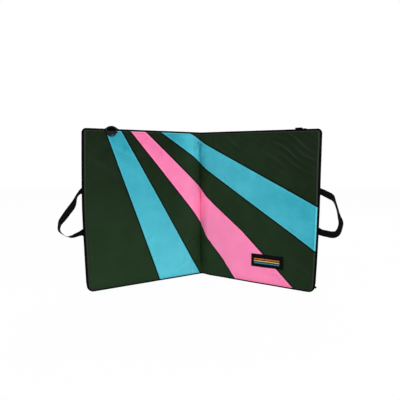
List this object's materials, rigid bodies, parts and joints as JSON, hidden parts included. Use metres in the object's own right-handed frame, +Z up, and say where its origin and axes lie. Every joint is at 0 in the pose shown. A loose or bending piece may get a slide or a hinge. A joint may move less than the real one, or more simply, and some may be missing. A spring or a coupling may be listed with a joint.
{
  "type": "bouldering crash pad",
  "caption": "Hinged foam crash pad standing open on its long edge: striped landing covers, carry handles, closure ring and strap, zips and shoulder harness.",
  "frame": {"origin": "on the floor under the middle of the standing pad's box", "axes": "+Z up along the fold; the landing sides face -Y; +X from the left half to the right half"},
  "size_m": [1.5582, 0.4718, 0.9372],
  "materials": {
    "green_nylon": "matte coated weave",
    "cyan_nylon": "matte coated weave",
    "pink_nylon": "matte coated weave",
    "black_nylon": "matte coated weave",
    "webbing": "woven band",
    "woven_label": "fine weave",
    "closed_cell_foam": "matte foam",
    "open_cell_foam": "matte foam",
    "blackened_steel": "blackened",
    "acetal": "moulded"
  },
  "bodies": {
    "left_half": {"left_landing_foam": "closed_cell_foam", "left_core_foam": "open_cell_foam", "left_base_foam": "closed_cell_foam", "left_cover_outer_green": "green_nylon", "left_cover_wide_cyan": "cyan_nylon", "left_cover_lower_green": "green_nylon", "left_cover_pink": "pink_nylon", "left_cover_upper_green": "green_nylon", "left_cover_short_cyan": "cyan_nylon", "left_cover_corner_green": "green_nylon", "left_ground_cover": "black_nylon", "left_gusset_bottom": "black_nylon", "left_gusset_outer": "black_nylon", "left_gusset_top": "black_nylon", "left_gusset_fold": "black_nylon", "left_front_piping": "black_nylon", "left_back_piping": "black_nylon", "left_zip_tape": "black_nylon", "upper_ring_tab": "webbing", "lower_ring_tab": "webbing", "fold_web": "green_nylon"},
    "right_half": {"right_landing_foam": "closed_cell_foam", "right_core_foam": "open_cell_foam", "right_base_foam": "closed_cell_foam", "right_cover_fold_green": "green_nylon", "right_cover_pink": "pink_nylon", "right_cover_middle_green": "green_nylon", "right_cover_cyan": "cyan_nylon", "right_cover_upper_green": "green_nylon", "right_ground_cover": "black_nylon", "right_gusset_bottom": "black_nylon", "right_gusset_outer": "black_nylon", "right_gusset_top": "black_nylon", "right_gusset_fold": "black_nylon", "right_front_piping": "black_nylon", "right_back_piping": "black_nylon", "right_zip_tape": "black_nylon", "label": "woven_label", "upper_strap_anchor": "webbing", "lower_strap": "webbing", "inner_shoulder_strap": "black_nylon", "inner_ladder_lock": "acetal", "inner_shoulder_webbing": "webbing", "outer_shoulder_strap": "black_nylon", "outer_ladder_lock": "acetal", "outer_shoulder_webbing": "webbing"},
    "left_handle": {"left_handle": "webbing"},
    "right_handle": {"right_handle": "webbing"},
    "upper_ring": {"upper_ring": "blackened_steel"},
    "lower_ring": {"lower_ring": "blackened_steel"},
    "upper_strap": {"upper_strap": "webbing", "upper_hook": "acetal"},
    "left_zip": {"left_zip_slider": "blackened_steel", "left_zip_pull": "blackened_steel"},
    "right_zip": {"right_zip_slider": "blackened_steel", "right_zip_pull": "blackened_steel"}
  },
  "joints": [
    {"name": "fold", "type": "hinge", "parent": "left_half", "child": "right_half", "pos_m": [0.00333, 0.16224, 0.457], "axis": [0, 0, -1], "range_deg": [-58, 119], "deforming": ["fold_web"]},
    {"name": "left_handle_swing", "type": "hinge", "parent": "left_half", "child": "left_handle", "pos_m": [-0.64924, -0.15489, 0.457], "axis": [0, 0, -1], "range_deg": [-35, 60]},
    {"name": "right_handle_swing", "type": "hinge", "parent": "right_half", "child": "right_handle", "pos_m": [0.6559, -0.15489, 0.457], "axis": [0, 0, 1], "range_deg": [-35, 60]},
    {"name": "upper_ring_swing", "type": "hinge", "parent": "left_half", "child": "upper_ring", "pos_m": [-0.49271, -0.10415, 0.92], "axis": [-0.8746, -0.4848, 0], "range_deg": [0, 150]},
    {"name": "lower_ring_swing", "type": "hinge", "parent": "left_half", "child": "lower_ring", "pos_m": [-0.56658, -0.04722, 0.11], "axis": [0.8746, 0.4848, 0], "range_deg": [0, 150]},
    {"name": "upper_strap_swing", "type": "hinge", "parent": "right_half", "child": "upper_strap", "pos_m": [0.59058, -0.05306, 0.902], "axis": [0.8746, -0.4848, 0], "range_deg": [0, 150]},
    {"name": "left_zip_slide", "type": "slide", "parent": "left_half", "child": "left_zip", "axis": [0, 0, 1], "range_m": [0, 0.61]},
    {"name": "right_zip_slide", "type": "slide", "parent": "right_half", "child": "right_zip", "axis": [0, 0, 1], "range_m": [0, 0.61]}
  ]
}
